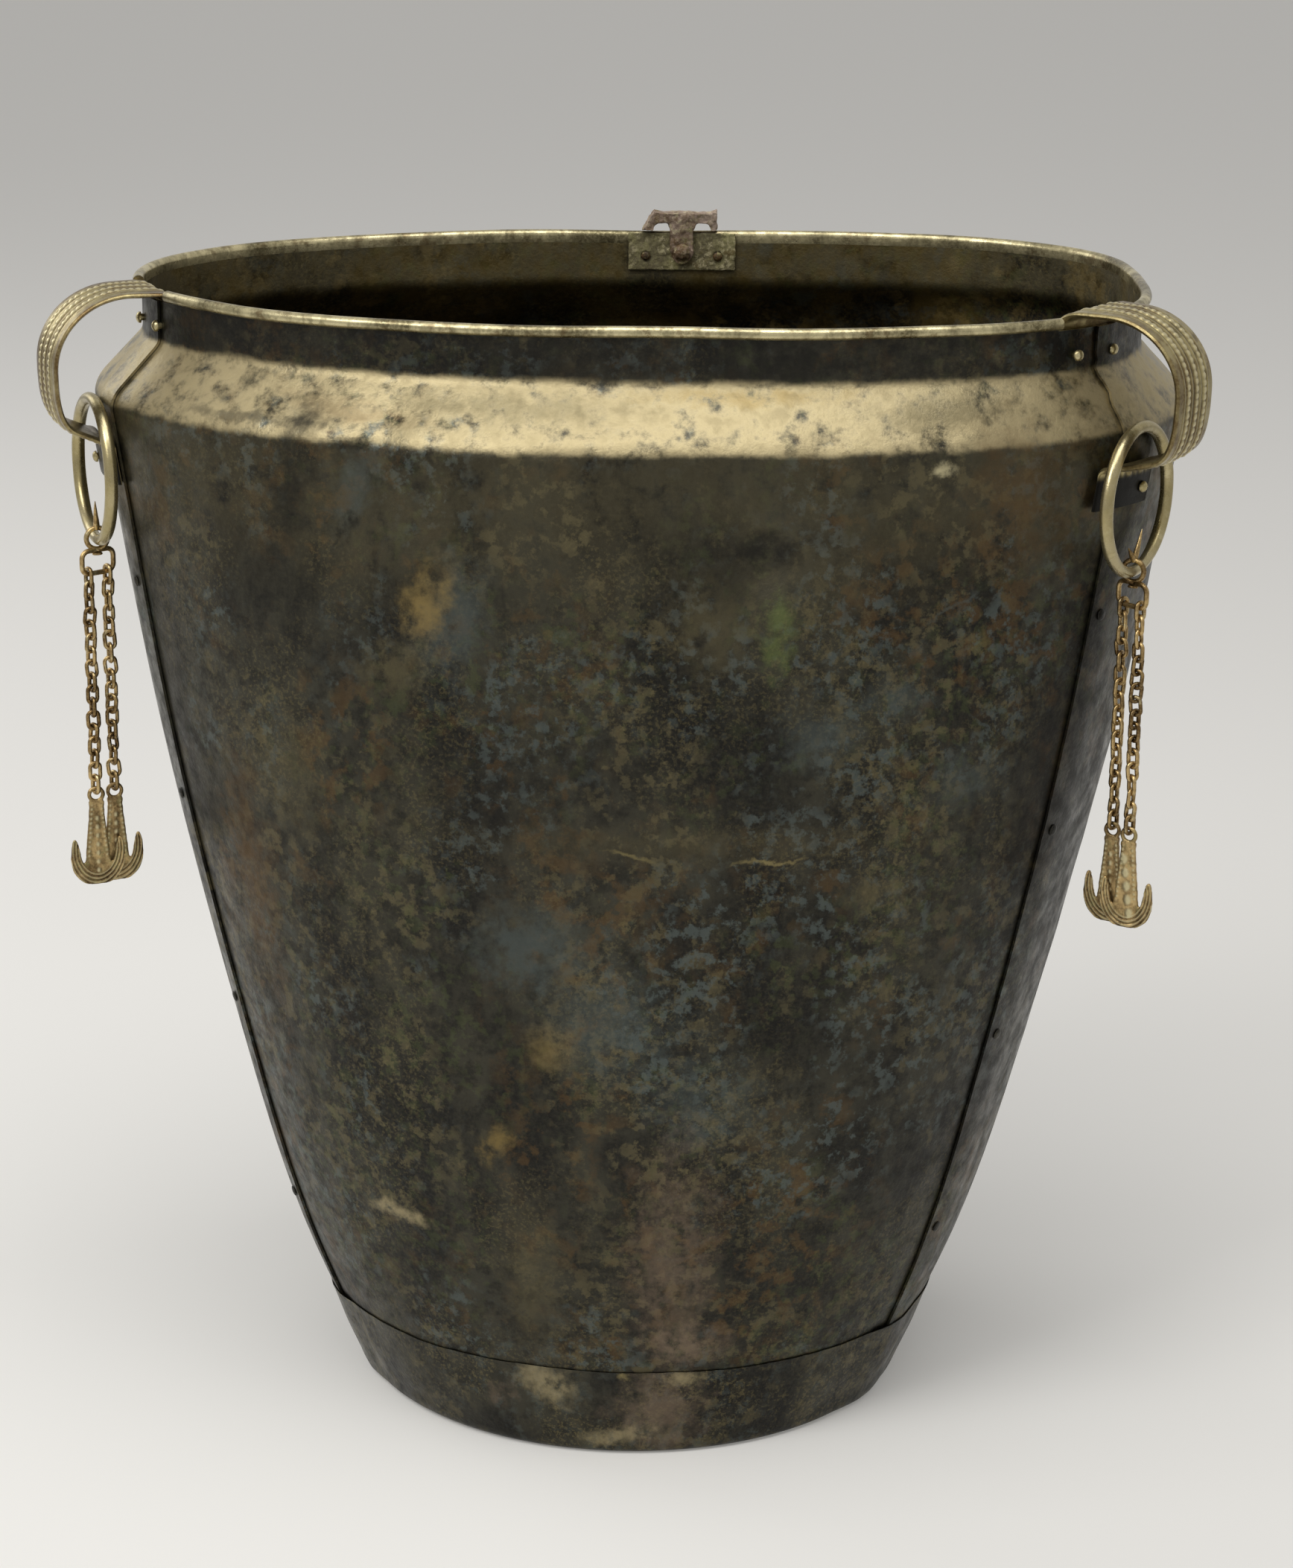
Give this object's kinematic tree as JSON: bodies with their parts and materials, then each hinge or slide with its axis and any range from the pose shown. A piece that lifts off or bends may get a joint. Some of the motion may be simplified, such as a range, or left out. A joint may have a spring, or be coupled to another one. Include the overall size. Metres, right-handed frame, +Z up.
{
  "type": "bronze situla",
  "caption": "Two-sheet bucket with a sharp shoulder, upright rolled neck, base pan, strap handles with hanging rings, chains and anchor-shaped pendants, and a lid bracket.",
  "frame": {"origin": "middle of the flat underside of the base pan, on the ground", "axes": "+Z up, front of the vessel towards -Y, +X to the right as seen from the front"},
  "size_m": [0.3938, 0.2477, 0.4078],
  "materials": {
    "sheet_bronze": "hammered sheet, dark patina",
    "pan_bronze": "hammered sheet, worn",
    "strap_bronze": "ribbed and beaded strap, satin",
    "rivet_bronze": "drawn and hammered",
    "ring_bronze": "cast, satin",
    "chain_bronze": "drawn wire",
    "pendant_bronze": "cast plate",
    "bracket_bronze": "cast, green patina"
  },
  "bodies": {
    "vessel": {"bracket_plate": "bracket_bronze", "bracket_block": "bracket_bronze", "bracket_rivet_1": "rivet_bronze", "bracket_rivet_2": "rivet_bronze", "bracket_stud": "bracket_bronze", "front_sheet": "sheet_bronze", "back_sheet": "sheet_bronze", "base_pan": "pan_bronze", "front_rim_wire": "rivet_bronze", "back_rim_wire": "rivet_bronze", "right_seam_rivet_1": "rivet_bronze", "right_seam_rivet_2": "rivet_bronze", "right_seam_rivet_3": "rivet_bronze", "right_seam_rivet_4": "rivet_bronze", "left_seam_rivet_1": "rivet_bronze", "left_seam_rivet_2": "rivet_bronze", "left_seam_rivet_3": "rivet_bronze", "left_seam_rivet_4": "rivet_bronze", "right_handle_strap": "strap_bronze", "right_upper_rivet_1": "rivet_bronze", "right_upper_rivet_2": "rivet_bronze", "right_lower_rivet_1": "rivet_bronze", "right_lower_rivet_2": "rivet_bronze", "left_handle_strap": "strap_bronze", "left_upper_rivet_1": "rivet_bronze", "left_upper_rivet_2": "rivet_bronze", "left_lower_rivet_1": "rivet_bronze", "left_lower_rivet_2": "rivet_bronze"},
    "right_ring": {"right_ring": "ring_bronze"},
    "right_yoke": {"right_yoke": "chain_bronze"},
    "right_outer_chain_upper": {"right_outer_chain_upper": "chain_bronze"},
    "right_outer_chain_lower": {"right_outer_chain_lower": "chain_bronze"},
    "right_outer_pendant": {"right_outer_pendant": "pendant_bronze"},
    "right_inner_chain_upper": {"right_inner_chain_upper": "chain_bronze"},
    "right_inner_chain_lower": {"right_inner_chain_lower": "chain_bronze"},
    "right_inner_pendant": {"right_inner_pendant": "pendant_bronze"},
    "left_ring": {"left_ring": "ring_bronze"},
    "left_yoke": {"left_yoke": "chain_bronze"},
    "left_outer_chain_upper": {"left_outer_chain_upper": "chain_bronze"},
    "left_outer_chain_lower": {"left_outer_chain_lower": "chain_bronze"},
    "left_outer_pendant": {"left_outer_pendant": "pendant_bronze"},
    "left_inner_chain_upper": {"left_inner_chain_upper": "chain_bronze"},
    "left_inner_chain_lower": {"left_inner_chain_lower": "chain_bronze"},
    "left_inner_pendant": {"left_inner_pendant": "pendant_bronze"}
  },
  "joints": [
    {"name": "right_ring_swing", "type": "hinge", "parent": "vessel", "child": "right_ring", "pos_m": [0.1646, -0.07677, 0.35528], "axis": [-0.5151, -0.8571, 0], "range_deg": [-1, 8]},
    {"name": "right_yoke_swing", "type": "hinge", "parent": "right_ring", "child": "right_yoke", "pos_m": [0.1646, -0.07677, 0.31591], "axis": [-0.5151, -0.8571, 0], "range_deg": [-1, 15]},
    {"name": "right_outer_chain_swing", "type": "hinge", "parent": "right_yoke", "child": "right_outer_chain_upper", "pos_m": [0.16707, -0.07966, 0.30385], "axis": [-0.6503, 0.7597, 0], "range_deg": [0, 10]},
    {"name": "right_outer_chain_bend", "type": "hinge", "parent": "right_outer_chain_upper", "child": "right_outer_chain_lower", "pos_m": [0.16707, -0.07966, 0.26405], "axis": [-0.6503, 0.7597, 0], "range_deg": [0, 8]},
    {"name": "right_outer_pendant_swing", "type": "hinge", "parent": "right_outer_chain_lower", "child": "right_outer_pendant", "pos_m": [0.16707, -0.07966, 0.22535], "axis": [-0.5151, -0.8571, 0], "range_deg": [-10, 10]},
    {"name": "right_inner_chain_swing", "type": "hinge", "parent": "right_yoke", "child": "right_inner_chain_upper", "pos_m": [0.16213, -0.07389, 0.30385], "axis": [0.6503, -0.7597, 0], "range_deg": [0, 10]},
    {"name": "right_inner_chain_bend", "type": "hinge", "parent": "right_inner_chain_upper", "child": "right_inner_chain_lower", "pos_m": [0.16213, -0.07389, 0.26405], "axis": [0.6503, -0.7597, 0], "range_deg": [0, 8]},
    {"name": "right_inner_pendant_swing", "type": "hinge", "parent": "right_inner_chain_lower", "child": "right_inner_pendant", "pos_m": [0.16213, -0.07389, 0.22535], "axis": [-0.5151, -0.8571, 0], "range_deg": [-10, 10]},
    {"name": "left_ring_swing", "type": "hinge", "parent": "vessel", "child": "left_ring", "pos_m": [-0.18532, -0.03264, 0.35228], "axis": [-0.3587, 0.9334, 0], "range_deg": [-2, 4]},
    {"name": "left_yoke_swing", "type": "hinge", "parent": "left_ring", "child": "left_yoke", "pos_m": [-0.18532, -0.03264, 0.31291], "axis": [-0.3587, 0.9334, 0], "range_deg": [-1, 15]},
    {"name": "left_outer_chain_swing", "type": "hinge", "parent": "left_yoke", "child": "left_outer_chain_upper", "pos_m": [-0.18825, -0.03505, 0.30085], "axis": [-0.7721, -0.6355, 0], "range_deg": [0, 10]},
    {"name": "left_outer_chain_bend", "type": "hinge", "parent": "left_outer_chain_upper", "child": "left_outer_chain_lower", "pos_m": [-0.18825, -0.03505, 0.26105], "axis": [-0.7721, -0.6355, 0], "range_deg": [0, 8]},
    {"name": "left_outer_pendant_swing", "type": "hinge", "parent": "left_outer_chain_lower", "child": "left_outer_pendant", "pos_m": [-0.18825, -0.03505, 0.22235], "axis": [-0.3587, 0.9334, 0], "range_deg": [-10, 10]},
    {"name": "left_inner_chain_swing", "type": "hinge", "parent": "left_yoke", "child": "left_inner_chain_upper", "pos_m": [-0.18239, -0.03023, 0.30085], "axis": [0.7721, 0.6355, 0], "range_deg": [0, 10]},
    {"name": "left_inner_chain_bend", "type": "hinge", "parent": "left_inner_chain_upper", "child": "left_inner_chain_lower", "pos_m": [-0.18239, -0.03023, 0.26105], "axis": [0.7721, 0.6355, 0], "range_deg": [0, 8]},
    {"name": "left_inner_pendant_swing", "type": "hinge", "parent": "left_inner_chain_lower", "child": "left_inner_pendant", "pos_m": [-0.18239, -0.03023, 0.22235], "axis": [-0.3587, 0.9334, 0], "range_deg": [-10, 10]}
  ]
}
